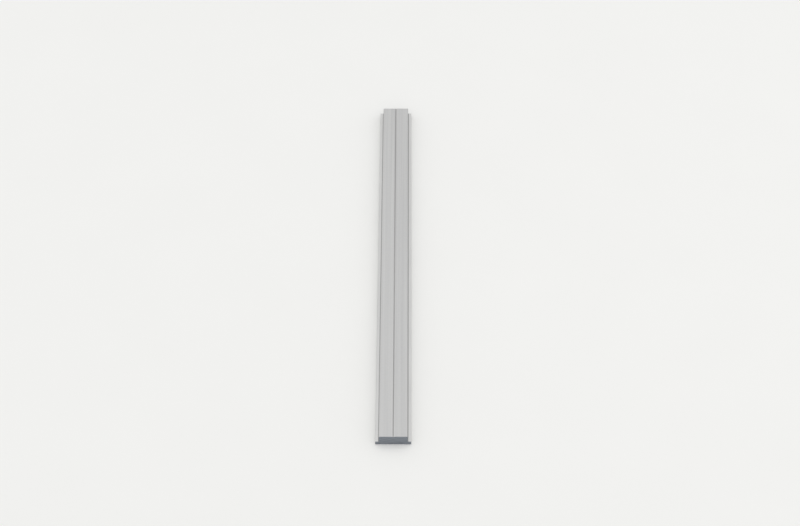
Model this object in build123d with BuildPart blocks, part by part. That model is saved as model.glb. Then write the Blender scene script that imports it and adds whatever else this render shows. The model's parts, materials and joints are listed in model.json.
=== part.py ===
# A short length of extruded aluminium profile: a flat base with a ledge along each side, a raised
# body on it, and a V-shaped marking groove down the middle of the top and of the underside.
# Millimetres. +Z is up, the bar runs along Y, and the origin is at the middle of the underside.
import os
from math import radians, tan

from build123d import *

# Driving dimensions
bar_length = 300.0
body_width = 17.6
body_height = 4.7
ledge_width = 2.2
ledge_thickness = 2.5
groove_depth = 0.45
groove_angle = 90.0
body_edge_radius = 0.5
ledge_edge_radius = 0.3
root_radius = 0.2
deburr = 0.12

# Sizes that follow from them
base_width = body_width + 2 * ledge_width
total_height = ledge_thickness + body_height
groove_width = 2 * groove_depth * tan(radians(groove_angle / 2))

# The whole bar is one solid, pressed straight through a die, so one section gives all of it
with BuildPart() as aluminium_profile:
    with BuildSketch(Plane.XZ):
        # The right half of the outline, from the bottom of one groove round to the bottom of the other
        with BuildLine():
            Line((0, groove_depth), (groove_width / 2, 0))
            FilletPolyline(
                (groove_width / 2, 0),
                (base_width / 2, 0),
                (base_width / 2, ledge_thickness),
                (body_width / 2, ledge_thickness),
                (body_width / 2, total_height),
                (groove_width / 2, total_height),
                radius=[ledge_edge_radius, ledge_edge_radius, root_radius, body_edge_radius],
            )
            Line((groove_width / 2, total_height), (0, total_height - groove_depth))
            mirror(about=Plane.YZ)
        make_face()
    extrude(amount=bar_length / 2, both=True)

    # Both ends are sawn square, with the sharp edge taken off all round
    sawn_ends = aluminium_profile.faces().filter_by(Axis.Y)
    chamfer(sawn_ends.edges(), deburr)

aluminium_profile.part.label = "aluminium_profile"

os.makedirs("parts", exist_ok=True)
export_step(aluminium_profile.part, "parts/aluminium_profile.step")
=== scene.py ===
import json
from math import pi, radians

import bmesh
import bpy
from mathutils import Matrix, Vector


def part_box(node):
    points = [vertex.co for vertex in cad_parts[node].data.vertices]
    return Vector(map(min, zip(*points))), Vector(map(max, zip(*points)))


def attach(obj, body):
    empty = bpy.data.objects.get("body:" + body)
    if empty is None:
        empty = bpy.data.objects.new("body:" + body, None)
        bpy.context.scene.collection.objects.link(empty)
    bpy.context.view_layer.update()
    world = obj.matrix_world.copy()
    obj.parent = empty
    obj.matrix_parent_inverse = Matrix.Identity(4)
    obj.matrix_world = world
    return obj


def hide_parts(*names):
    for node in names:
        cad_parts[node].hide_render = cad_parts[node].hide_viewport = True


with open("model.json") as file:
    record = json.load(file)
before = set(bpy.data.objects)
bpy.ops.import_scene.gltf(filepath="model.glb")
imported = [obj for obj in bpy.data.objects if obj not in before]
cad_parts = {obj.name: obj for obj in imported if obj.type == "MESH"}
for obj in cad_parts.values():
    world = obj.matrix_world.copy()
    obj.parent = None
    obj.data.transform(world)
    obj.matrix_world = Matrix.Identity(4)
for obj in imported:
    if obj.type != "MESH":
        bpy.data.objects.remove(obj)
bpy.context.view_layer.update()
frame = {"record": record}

# The section that the die gives the bar: a flat base with a ledge along each side, a raised body
# on it, and a V-shaped groove down the middle of the top and of the underside. It is drawn as its
# corners, and each corner carries the radius that the die leaves there.
mm = 0.001
bar_low, bar_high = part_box("aluminium_profile")
bar_length = bar_high.y - bar_low.y
bar_top = bar_high.z
half_base = bar_high.x
ledge_middle, _, ledge_top = next(
    mount["pos_m"] for mount in frame["record"]["mounts"] if mount["name"] == "ledge_right"
)
half_body = 2 * ledge_middle - half_base
groove_depth = 0.45 * mm
half_groove = groove_depth  # the sides of the groove meet at a right angle
groove_radius = 0.06 * mm
body_edge_radius = 0.5 * mm
ledge_edge_radius = 0.3 * mm
root_radius = 0.2 * mm

right_corners = [
    (half_groove, 0, groove_radius),
    (half_base, 0, ledge_edge_radius),
    (half_base, ledge_top, ledge_edge_radius),
    (half_body, ledge_top, root_radius),
    (half_body, bar_top, body_edge_radius),
    (half_groove, bar_top, groove_radius),
]
corners = [
    (0, groove_depth, groove_radius),
    *right_corners,
    (0, bar_top - groove_depth, groove_radius),
    *[(-x, height, radius) for x, height, radius in reversed(right_corners)],
]
section = bpy.data.curves.new("bar_section", "CURVE")
section.dimensions = "3D"
outline = section.splines.new("POLY")
outline.points.add(len(corners) - 1)
outline.use_cyclic_u = True
for point, (x, height, radius) in zip(outline.points, corners):
    point.co = (x, height, 0, 1)
    point.radius = radius
section_object = bpy.data.objects.new("bar_section", section)
bpy.context.scene.collection.objects.link(section_object)


# The skin of the bar: aluminium pressed hot through a steel die, etched matt and anodised silver.
# The die draws faint streaks along it, and the etch breaks them up into a fine, even grain.
def linear(hex_colour):
    """An sRGB hex colour as the linear RGBA that a shader takes."""
    channels = [int(hex_colour[i : i + 2], 16) / 255 for i in (1, 3, 5)]
    return (*[c / 12.92 if c <= 0.04045 else ((c + 0.055) / 1.055) ** 2.4 for c in channels], 1)


def add_node(tree, kind, inputs=None, **settings):
    """A new node with these settings, and each named or numbered input linked or set."""
    node = tree.nodes.new(kind)
    for name, value in settings.items():
        setattr(node, name, value)
    for socket, value in (inputs or {}).items():
        if isinstance(value, bpy.types.NodeSocket):
            tree.links.new(value, node.inputs[socket])
        else:
            node.inputs[socket].default_value = value
    return node


# Anodised aluminium: a soft neutral grey with no mirror in it, lighter and darker by a few percent
# in streaks that run almost unbroken from end to end. The grain of the etch, about 0.05 mm on the
# real metal, would not show, so it is drawn much coarser.
skin_pale = "#CFCFCE"
skin_dark = "#BEBEBE"
skin_roughness = (0.32, 0.40)
streak_width = 1.6 * mm
streak_length = 250 * mm
noise_middle = {"From Min": 0.3, "From Max": 0.7}  # where nearly all of a noise lies
etch_grain = 1.4 * mm
etch_share = 0.33
etch_depth = 0.006 * mm

anodised_aluminium = bpy.data.materials.new("matt_anodised_aluminium")
anodised_aluminium.use_nodes = True
skin = anodised_aluminium.node_tree
skin_shader = skin.nodes["Principled BSDF"]
skin_place = add_node(skin, "ShaderNodeTexCoord").outputs["Object"]
along_the_bar = add_node(
    skin,
    "ShaderNodeMapping",
    {"Vector": skin_place, "Scale": (1 / streak_width, 1 / streak_length, 1 / streak_width)},
)
streaks = add_node(
    skin,
    "ShaderNodeTexNoise",
    {"Vector": along_the_bar.outputs["Vector"], "Scale": 1, "Detail": 3, "Roughness": 0.6},
)
streak_tone = add_node(
    skin,
    "ShaderNodeMapRange",
    {"Value": streaks.outputs["Fac"], **noise_middle},
)
etch = add_node(
    skin,
    "ShaderNodeTexNoise",
    {"Vector": skin_place, "Scale": 1 / etch_grain, "Detail": 1},
)
tone = add_node(
    skin,
    "ShaderNodeMix",
    {"Factor": etch_share, 2: streak_tone.outputs["Result"], 3: etch.outputs["Fac"]},
    data_type="FLOAT",
)
tone_colour = add_node(
    skin,
    "ShaderNodeMix",
    {"Factor": tone.outputs[0], 6: linear(skin_dark), 7: linear(skin_pale)},
    data_type="RGBA",
)
tone_roughness = add_node(
    skin,
    "ShaderNodeMapRange",
    {"Value": tone.outputs[0], "To Min": skin_roughness[0], "To Max": skin_roughness[1]},
)

# Painted highlight on the ledges, which stick out furthest: their colour is painted a shade
# brighter, in patches, and their finish is a little smoother
ledge_painted_highlight = "#D4D4D3"
ledge_roughness = 0.30
highlight_and_polish_fade = 0.6 * mm
highlight_and_polish_patch = 22 * mm
highlight_and_polish_strength = (0.6, 1.0)

right_half = add_node(skin, "ShaderNodeVectorMath", {0: skin_place}, operation="ABSOLUTE")
on_section = add_node(
    skin,
    "ShaderNodeVectorMath",
    {0: right_half.outputs["Vector"], 1: (1, 0, 1)},
    operation="MULTIPLY",
).outputs["Vector"]
off_centre = add_node(skin, "ShaderNodeSeparateXYZ", {"Vector": on_section}).outputs["X"]
on_ledge = add_node(
    skin,
    "ShaderNodeMapRange",
    {"Value": off_centre, "From Min": half_body, "From Max": half_body + highlight_and_polish_fade},
    interpolation_type="SMOOTHSTEP",
)
patches = add_node(
    skin,
    "ShaderNodeTexNoise",
    {"Vector": skin_place, "Scale": 1 / highlight_and_polish_patch, "Detail": 2},
)
patch_strength = add_node(
    skin,
    "ShaderNodeMapRange",
    {
        "Value": patches.outputs["Fac"],
        **noise_middle,
        "To Min": highlight_and_polish_strength[0],
        "To Max": highlight_and_polish_strength[1],
    },
)
highlight_and_polish = add_node(
    skin,
    "ShaderNodeMath",
    {0: on_ledge.outputs["Result"], 1: patch_strength.outputs["Result"]},
    operation="MULTIPLY",
)
highlighted_colour = add_node(
    skin,
    "ShaderNodeMix",
    {"Factor": highlight_and_polish.outputs["Value"], 6: tone_colour.outputs[2], 7: linear(ledge_painted_highlight)},
    data_type="RGBA",
)
polished_roughness = add_node(
    skin,
    "ShaderNodeMix",
    {"Factor": highlight_and_polish.outputs["Value"], 2: tone_roughness.outputs["Result"], 3: ledge_roughness},
    data_type="FLOAT",
)

# Painted shade at the root of each step: a darker band painted along the corner where the step
# meets the ledge
root_painted_shade = "#7E7E7E"
root_shade_reach = 0.7 * mm
to_root = add_node(
    skin,
    "ShaderNodeVectorMath",
    {0: on_section, 1: (half_body, 0, ledge_top)},
    operation="DISTANCE",
)
root_shade_band = add_node(
    skin,
    "ShaderNodeMapRange",
    {"Value": to_root.outputs["Value"], "From Max": root_shade_reach, "To Min": 1, "To Max": 0},
    interpolation_type="SMOOTHSTEP",
)
skin_colour = add_node(
    skin,
    "ShaderNodeMix",
    {"Factor": root_shade_band.outputs["Result"], 6: highlighted_colour.outputs[2], 7: linear(root_painted_shade)},
    data_type="RGBA",
)
etch_bump = add_node(
    skin,
    "ShaderNodeBump",
    {"Height": etch.outputs["Fac"], "Distance": etch_depth, "Strength": 1},
)
skin.links.new(skin_colour.outputs[2], skin_shader.inputs["Base Color"])
skin.links.new(polished_roughness.outputs[0], skin_shader.inputs["Roughness"])
skin.links.new(etch_bump.outputs["Normal"], skin_shader.inputs["Normal"])
skin_shader.inputs["Metallic"].default_value = 1

# The two ends: sawn square after anodising, so they are bare metal, and so are their broken edges.
# A circular blade leaves shallow arcs. The cut is painted a dull blue-grey, much darker than bare
# metal: partly painted shade on the ends, partly the torn, unpolished cut, which is also rougher
# than the skin.
sawn_pale_with_shade = "#9A9FA6"
sawn_dark_with_shade = "#80858C"
sawn_roughness = (0.44, 0.6)
saw_pitch = 0.8 * mm
saw_depth = 0.02 * mm
blade_centre = Vector((-35, 0, -120)) * mm  # from the middle of the cut
cut_middle = Vector((0, 0, bar_top / 2))

sawn_aluminium = bpy.data.materials.new("sawn_aluminium")
sawn_aluminium.use_nodes = True
cut = sawn_aluminium.node_tree
cut_shader = cut.nodes["Principled BSDF"]
cut_place = add_node(cut, "ShaderNodeTexCoord").outputs["Object"]

# Seen from outside, the blade stands on the same side of both ends, so the near end is read turned
cut_parts = add_node(cut, "ShaderNodeSeparateXYZ", {"Vector": cut_place}).outputs
far_or_near = add_node(cut, "ShaderNodeMath", {0: cut_parts["Y"]}, operation="SIGN")
turned_x = add_node(
    cut,
    "ShaderNodeMath",
    {0: cut_parts["X"], 1: far_or_near.outputs["Value"]},
    operation="MULTIPLY",
)
cut_point = add_node(
    cut,
    "ShaderNodeCombineXYZ",
    {"X": turned_x.outputs["Value"], "Z": cut_parts["Z"]},
)
blade_reach = add_node(
    cut,
    "ShaderNodeVectorMath",
    {0: cut_point.outputs["Vector"], 1: blade_centre + cut_middle},
    operation="DISTANCE",
)
tooth_marks = add_node(
    cut,
    "ShaderNodeTexNoise",
    {"W": blade_reach.outputs["Value"], "Scale": 1 / saw_pitch, "Detail": 2},
    noise_dimensions="1D",
)
tooth_tone = add_node(
    cut,
    "ShaderNodeMapRange",
    {"Value": tooth_marks.outputs["Fac"], **noise_middle},
)
tooth_colour = add_node(
    cut,
    "ShaderNodeMix",
    {"Factor": tooth_tone.outputs["Result"], 6: linear(sawn_dark_with_shade), 7: linear(sawn_pale_with_shade)},
    data_type="RGBA",
)
tooth_roughness = add_node(
    cut,
    "ShaderNodeMapRange",
    {
        "Value": tooth_tone.outputs["Result"],
        "To Min": sawn_roughness[0],
        "To Max": sawn_roughness[1],
    },
)
cut.links.new(tooth_colour.outputs[2], cut_shader.inputs["Base Color"])
cut.links.new(tooth_roughness.outputs["Result"], cut_shader.inputs["Roughness"])
cut_shader.inputs["Metallic"].default_value = 1

# The bar itself: the section pressed along a straight line in one piece, then sawn off at both ends
# and the sharp edge of each cut broken. The die lines and the saw's arcs are cut into the metal.
bar_sizes = {
    "Bar Length": bar_length,
    "Facet Width": 0.08 * mm,
    "Die Line Spacing": 0.9 * mm,
    "Die Line Depth": 0.012 * mm,
    "Deburr": 0.12 * mm,
    "Saw Mark Pitch": saw_pitch,
    "Saw Mark Depth": saw_depth,
}
bar_finishes = {"Skin": anodised_aluminium, "Sawn End": sawn_aluminium}
press = bpy.data.node_groups.new("press_and_saw", "GeometryNodeTree")
press.interface.new_socket("Section", in_out="INPUT", socket_type="NodeSocketGeometry")
for name in bar_sizes:
    press.interface.new_socket(name, in_out="INPUT", socket_type="NodeSocketFloat")
for name in bar_finishes:
    press.interface.new_socket(name, in_out="INPUT", socket_type="NodeSocketMaterial")
press.interface.new_socket("Bar", in_out="OUTPUT", socket_type="NodeSocketGeometry")
given = add_node(press, "NodeGroupInput").outputs

# Rounded section. Each point keeps its outward direction in the bar's own axes, which is the
# direction of the outline turned by a quarter.
facets_per_corner = 6
corner_radius = add_node(press, "GeometryNodeInputRadius").outputs["Radius"]
rounded = add_node(
    press,
    "GeometryNodeFilletCurve",
    {
        "Curve": given["Section"],
        "Count": facets_per_corner,
        "Radius": corner_radius,
        "Limit Radius": True,
    },
    mode="POLY",
)
fine = add_node(
    press,
    "GeometryNodeResampleCurve",
    {"Curve": rounded.outputs["Curve"], "Length": given["Facet Width"]},
    mode="LENGTH",
)
tangent = add_node(press, "GeometryNodeInputTangent").outputs["Tangent"]
heading = add_node(press, "ShaderNodeSeparateXYZ", {"Vector": tangent}).outputs
outward_up = add_node(press, "ShaderNodeMath", {0: heading["X"], 1: -1}, operation="MULTIPLY")
outward = add_node(
    press,
    "ShaderNodeCombineXYZ",
    {"X": heading["Y"], "Z": outward_up.outputs["Value"]},
)
with_outward = add_node(
    press,
    "GeometryNodeStoreNamedAttribute",
    {"Geometry": fine.outputs["Curve"], "Name": "outward", "Value": outward.outputs["Vector"]},
    data_type="FLOAT_VECTOR",
)

# Die lines: shallow scores where the die has picked up metal, at uneven spacing round the section.
# A score starts where the noise passes the first level and is full at the second.
score_start = 0.5
score_full = 0.75
round_the_section = add_node(press, "GeometryNodeSplineParameter").outputs["Length"]
scores_per_metre = add_node(
    press,
    "ShaderNodeMath",
    {0: 1, 1: given["Die Line Spacing"]},
    operation="DIVIDE",
)
scores = add_node(
    press,
    "ShaderNodeTexNoise",
    {"W": round_the_section, "Scale": scores_per_metre.outputs["Value"], "Detail": 2},
    noise_dimensions="1D",
)
score_depth = add_node(
    press,
    "ShaderNodeMapRange",
    {
        "Value": scores.outputs["Fac"],
        "From Min": score_start,
        "From Max": score_full,
        "To Min": 0,
        "To Max": given["Die Line Depth"],
    },
    interpolation_type="SMOOTHSTEP",
)
with_scores = add_node(
    press,
    "GeometryNodeStoreNamedAttribute",
    {
        "Geometry": with_outward.outputs["Geometry"],
        "Name": "score_depth",
        "Value": score_depth.outputs["Result"],
    },
    data_type="FLOAT",
)

# Pressed along the line from the far end to the near one, as far as the broken edges
half_length = add_node(
    press,
    "ShaderNodeMath",
    {0: given["Bar Length"], 1: 0.5},
    operation="MULTIPLY",
)
to_deburr = add_node(
    press,
    "ShaderNodeMath",
    {0: half_length.outputs["Value"], 1: given["Deburr"]},
    operation="SUBTRACT",
)
to_near = add_node(
    press,
    "ShaderNodeMath",
    {0: to_deburr.outputs["Value"], 1: -1},
    operation="MULTIPLY",
)
far_point = add_node(press, "ShaderNodeCombineXYZ", {"Y": to_deburr.outputs["Value"]})
near_point = add_node(press, "ShaderNodeCombineXYZ", {"Y": to_near.outputs["Value"]})
press_line = add_node(
    press,
    "GeometryNodeCurvePrimitiveLine",
    {"Start": far_point.outputs["Vector"], "End": near_point.outputs["Vector"]},
)
upright_line = add_node(
    press,
    "GeometryNodeSetCurveTilt",
    {"Curve": press_line.outputs["Curve"], "Tilt": pi},
)
pressed = add_node(
    press,
    "GeometryNodeCurveToMesh",
    {
        "Curve": upright_line.outputs["Curve"],
        "Profile Curve": with_scores.outputs["Geometry"],
        "Fill Caps": True,
    },
)

# Past there each end tapers, so that the saw, coming after, leaves its edge broken. The taper dies
# out beside the grooves, where a file doesn't reach. The broken edge goes through the skin, so it
# counts with the end.
end_facing = 0.5  # how squarely a face has to look along the bar to count
file_reach = (1.1 * half_groove, 2 * half_groove)
taper_share = 2  # of the broken edge, because the saw cuts the taper half way
face_normal = add_node(press, "GeometryNodeInputNormal").outputs["Normal"]
facing = add_node(press, "ShaderNodeSeparateXYZ", {"Vector": face_normal}).outputs
facing_out = add_node(press, "ShaderNodeMath", {0: facing["Y"]}, operation="ABSOLUTE")
is_end = add_node(
    press,
    "ShaderNodeMath",
    {0: facing_out.outputs["Value"], 1: end_facing},
    operation="GREATER_THAN",
)
taper = add_node(
    press,
    "ShaderNodeMath",
    {0: given["Deburr"], 1: taper_share},
    operation="MULTIPLY",
)
lengthened = add_node(
    press,
    "GeometryNodeExtrudeMesh",
    {
        "Mesh": pressed.outputs["Mesh"],
        "Selection": is_end.outputs["Value"],
        "Offset Scale": taper.outputs["Value"],
        "Individual": False,
    },
    mode="FACES",
)
place = add_node(press, "GeometryNodeInputPosition").outputs["Position"]
place_parts = add_node(press, "ShaderNodeSeparateXYZ", {"Vector": place}).outputs
from_middle = add_node(press, "ShaderNodeMath", {0: place_parts["Y"]}, operation="ABSOLUTE")
past_end = add_node(
    press,
    "ShaderNodeMath",
    {0: from_middle.outputs["Value"], 1: half_length.outputs["Value"]},
    operation="GREATER_THAN",
)
off_middle = add_node(press, "ShaderNodeMath", {0: place_parts["X"]}, operation="ABSOLUTE")
filed = add_node(
    press,
    "ShaderNodeMapRange",
    {
        "Value": off_middle.outputs["Value"],
        "From Min": file_reach[0],
        "From Max": file_reach[1],
        "To Max": taper.outputs["Value"],
    },
)
kept_outward = add_node(
    press,
    "GeometryNodeInputNamedAttribute",
    {"Name": "outward"},
    data_type="FLOAT_VECTOR",
)
kept_scores = add_node(
    press,
    "GeometryNodeInputNamedAttribute",
    {"Name": "score_depth"},
    data_type="FLOAT",
)
drawn_in = add_node(
    press,
    "ShaderNodeMath",
    {
        0: past_end.outputs["Value"],
        1: filed.outputs["Result"],
        2: kept_scores.outputs["Attribute"],
    },
    operation="MULTIPLY_ADD",
)
inward = add_node(
    press,
    "ShaderNodeMath",
    {0: drawn_in.outputs["Value"], 1: -1},
    operation="MULTIPLY",
)
shift = add_node(
    press,
    "ShaderNodeVectorMath",
    {0: kept_outward.outputs["Attribute"], "Scale": inward.outputs["Value"]},
    operation="SCALE",
)
tapered = add_node(
    press,
    "GeometryNodeSetPosition",
    {"Geometry": lengthened.outputs["Mesh"], "Offset": shift.outputs["Vector"]},
)

# The saw: a block off each end, whose inner face carries the arcs that the blade's teeth leave
block_size = Vector((26, 2, 12)) * mm  # wider and higher than the bar
step_across = 1 * mm
step_up = 0.1 * mm
saw_block = add_node(
    press,
    "GeometryNodeMeshCube",
    {
        "Size": block_size,
        "Vertices X": round(block_size.x / step_across) + 1,
        "Vertices Y": 2,
        "Vertices Z": round(block_size.z / step_up) + 1,
    },
)
block_place = add_node(
    press,
    "ShaderNodeMath",
    {0: half_length.outputs["Value"], 1: block_size.y / 2},
    operation="ADD",
)
block_spot = add_node(
    press,
    "ShaderNodeCombineXYZ",
    {"Y": block_place.outputs["Value"], "Z": cut_middle.z},
)
inner_side = add_node(
    press,
    "ShaderNodeMath",
    {0: place_parts["Y"], 1: 0},
    operation="LESS_THAN",
)
tooth_reach = add_node(
    press,
    "ShaderNodeVectorMath",
    {0: place, 1: blade_centre},
    operation="DISTANCE",
)
turns = add_node(
    press,
    "ShaderNodeMath",
    {0: tooth_reach.outputs["Value"], 1: given["Saw Mark Pitch"]},
    operation="DIVIDE",
)
phase = add_node(
    press,
    "ShaderNodeMath",
    {0: turns.outputs["Value"], 1: 2 * pi},
    operation="MULTIPLY",
)
wave = add_node(press, "ShaderNodeMath", {0: phase.outputs["Value"]}, operation="SINE")
bite = add_node(
    press,
    "ShaderNodeMapRange",
    {
        "Value": wave.outputs["Value"],
        "From Min": -1,
        "From Max": 1,
        "To Min": 0,
        "To Max": given["Saw Mark Depth"],
    },
)
bite_in = add_node(
    press,
    "ShaderNodeMath",
    {0: bite.outputs["Result"], 1: -1},
    operation="MULTIPLY",
)
bite_shift = add_node(press, "ShaderNodeCombineXYZ", {"Y": bite_in.outputs["Value"]})
toothed = add_node(
    press,
    "GeometryNodeSetPosition",
    {
        "Geometry": saw_block.outputs["Mesh"],
        "Selection": inner_side.outputs["Value"],
        "Offset": bite_shift.outputs["Vector"],
    },
)
far_saw = add_node(
    press,
    "GeometryNodeTransform",
    {"Geometry": toothed.outputs["Geometry"], "Translation": block_spot.outputs["Vector"]},
)
near_saw = add_node(
    press,
    "GeometryNodeTransform",
    {"Geometry": far_saw.outputs["Geometry"], "Rotation": (0, 0, pi)},
)
sawn = add_node(
    press,
    "GeometryNodeMeshBoolean",
    {"Mesh 1": tapered.outputs["Geometry"], "Mesh 2": far_saw.outputs["Geometry"]},
    operation="DIFFERENCE",
    solver="EXACT",
)
press.links.new(near_saw.outputs["Geometry"], sawn.inputs["Mesh 2"])

# Smooth over the small facets, sharp where the cut meets the skin
crease_angle = radians(35)
smooth = add_node(
    press,
    "GeometryNodeSetShadeSmooth",
    {"Geometry": sawn.outputs["Mesh"]},
    domain="FACE",
)
edge_angle = add_node(press, "GeometryNodeInputMeshEdgeAngle").outputs["Unsigned Angle"]
is_soft = add_node(
    press,
    "ShaderNodeMath",
    {0: edge_angle, 1: crease_angle},
    operation="LESS_THAN",
)
crisp = add_node(
    press,
    "GeometryNodeSetShadeSmooth",
    {"Geometry": smooth.outputs["Geometry"], "Shade Smooth": is_soft.outputs["Value"]},
    domain="EDGE",
)
cleaned = crisp
for name in ("outward", "score_depth"):
    cleaned = add_node(
        press,
        "GeometryNodeRemoveAttribute",
        {"Geometry": cleaned.outputs["Geometry"], "Name": name},
    )
realized = add_node(
    press,
    "GeometryNodeRealizeInstances",
    {"Geometry": cleaned.outputs["Geometry"]},
)
skinned = add_node(
    press,
    "GeometryNodeSetMaterial",
    {"Geometry": realized.outputs["Geometry"], "Material": given["Skin"]},
)
finished = add_node(
    press,
    "GeometryNodeSetMaterial",
    {
        "Geometry": skinned.outputs["Geometry"],
        "Selection": is_end.outputs["Value"],
        "Material": given["Sawn End"],
    },
)
add_node(press, "NodeGroupOutput", {"Bar": finished.outputs["Geometry"]})

pressing = section_object.modifiers.new("press_and_saw", "NODES")
pressing.node_group = press
given_values = {**bar_sizes, **bar_finishes}
for item in press.interface.items_tree:
    if item.name in given_values:
        pressing[item.identifier] = given_values[item.name]
graph = bpy.context.evaluated_depsgraph_get()
bar_mesh = bpy.data.meshes.new_from_object(section_object.evaluated_get(graph), depsgraph=graph)
bpy.data.objects.remove(section_object)
bar_mesh.materials.pop(index=0)  # an empty place that the cut leaves before the two finishes

# The cut also leaves double points, and spare ones in the middle of straight edges, which would
# spoil the closed surface
double_gap = 0.001 * mm
whole = bmesh.new()
whole.from_mesh(bar_mesh)
bmesh.ops.remove_doubles(whole, verts=whole.verts, dist=double_gap)
spare_points = [point for point in whole.verts if len(point.link_edges) == 2]
bmesh.ops.dissolve_verts(whole, verts=spare_points)
bmesh.ops.triangulate(whole, faces=whole.faces)
whole.to_mesh(bar_mesh)
whole.free()

bar = bpy.data.objects.new("extruded_bar", bar_mesh)
bpy.context.scene.collection.objects.link(bar)
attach(bar, "root")
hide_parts("aluminium_profile")

# The floor: a matt pale board, large enough to reach the horizon of every view.
# Its paint is barely uneven, so that it stays plain and the bar's soft shadow shows on it.
floor_pale = "#EFEFED"
floor_dark = "#EDEDEB"
floor_roughness = 0.85
floor_specular = 0.2
floor_half = 6000 * mm
floor_gap = 0.02 * mm  # under the bar, so that the two flat faces don't flicker
floor_mottle = 60 * mm

floor_paint = bpy.data.materials.new("matt_white_paint")
floor_paint.use_nodes = True
paint = floor_paint.node_tree
paint_shader = paint.nodes["Principled BSDF"]
paint_place = add_node(paint, "ShaderNodeTexCoord").outputs["Object"]
mottle = add_node(
    paint,
    "ShaderNodeTexNoise",
    {"Vector": paint_place, "Scale": 1 / floor_mottle, "Detail": 2},
)
mottle_colour = add_node(
    paint,
    "ShaderNodeMix",
    {"Factor": mottle.outputs["Fac"], 6: linear(floor_dark), 7: linear(floor_pale)},
    data_type="RGBA",
)
paint.links.new(mottle_colour.outputs[2], paint_shader.inputs["Base Color"])
paint_shader.inputs["Roughness"].default_value = floor_roughness
paint_shader.inputs["Specular IOR Level"].default_value = floor_specular

floor_level = bar_low.z - floor_gap
floor_corners = [
    (x * floor_half, y * floor_half, floor_level) for x, y in ((-1, -1), (1, -1), (1, 1), (-1, 1))
]
floor_mesh = bpy.data.meshes.new("floor")
floor_mesh.from_pydata(floor_corners, [], [(0, 1, 2, 3)])
floor_mesh.materials.append(floor_paint)
floor = bpy.data.objects.new("floor", floor_mesh)
bpy.context.scene.collection.objects.link(floor)

# The light: a pale studio with even walls and a glowing ceiling, and a soft box high on each side.
# Together they bring a white surface to just about white, so that colours come out about as they
# are written.
wall_level = 0.83
wall_top = 0.45  # the rise of a direction of length 1, where the glow begins
ceiling_level = 1.13
studio_white = "#FFFFFF"

world = bpy.data.worlds.new("studio")
bpy.context.scene.world = world
world.use_nodes = True
sky = world.node_tree
sky_direction = add_node(sky, "ShaderNodeTexCoord").outputs["Generated"]
sky_height = add_node(sky, "ShaderNodeSeparateXYZ", {"Vector": sky_direction}).outputs["Z"]
sky_level = add_node(
    sky,
    "ShaderNodeMapRange",
    {"Value": sky_height, "From Min": wall_top, "To Min": wall_level, "To Max": ceiling_level},
)
sky.links.new(sky_level.outputs["Result"], sky.nodes["Background"].inputs["Strength"])
sky.nodes["Background"].inputs["Color"].default_value = linear(studio_white)

soft_box_width = 0.8  # metres
soft_box_length = 1.2
soft_boxes = {  # place in metres, and watts
    "left_soft_box": ((-1.0, 0.1, 0.9), 0.8),
    "right_soft_box": ((1.0, 0.1, 0.9), 1.4),
}
for name, (box_place, watts) in soft_boxes.items():
    box_lamp = bpy.data.lights.new(name, "AREA")
    box_lamp.shape = "RECTANGLE"
    box_lamp.size = soft_box_width
    box_lamp.size_y = soft_box_length
    box_lamp.energy = watts
    soft_box = bpy.data.objects.new(name, box_lamp)
    soft_box.location = box_place
    soft_box.rotation_euler = (-soft_box.location).to_track_quat("-Z", "Y").to_euler()
    bpy.context.scene.collection.objects.link(soft_box)

# The camera: a long lens nine tenths of a metre up and before the bar, a little to the right of its
# line, looking down along it.
camera_place = Vector((11.48, -890.71, 929.04)) * mm
camera_fall = radians(46.09)
camera_turn = radians(0.51)
camera_roll = radians(-0.387)
film_width = 36  # millimetres, as the focal length is
focal_length = 87.22

lens = bpy.data.cameras.new("camera")
lens.sensor_width = film_width
lens.lens = focal_length
camera = bpy.data.objects.new("camera", lens)
camera.matrix_world = (
    Matrix.Translation(camera_place)
    @ Matrix.Rotation(camera_turn, 4, "Z")
    @ Matrix.Rotation(pi / 2 - camera_fall, 4, "X")
    @ Matrix.Rotation(camera_roll, 4, "Z")
)
bpy.context.scene.collection.objects.link(camera)
bpy.context.scene.camera = camera
bpy.context.scene.view_settings.view_transform = "Standard"
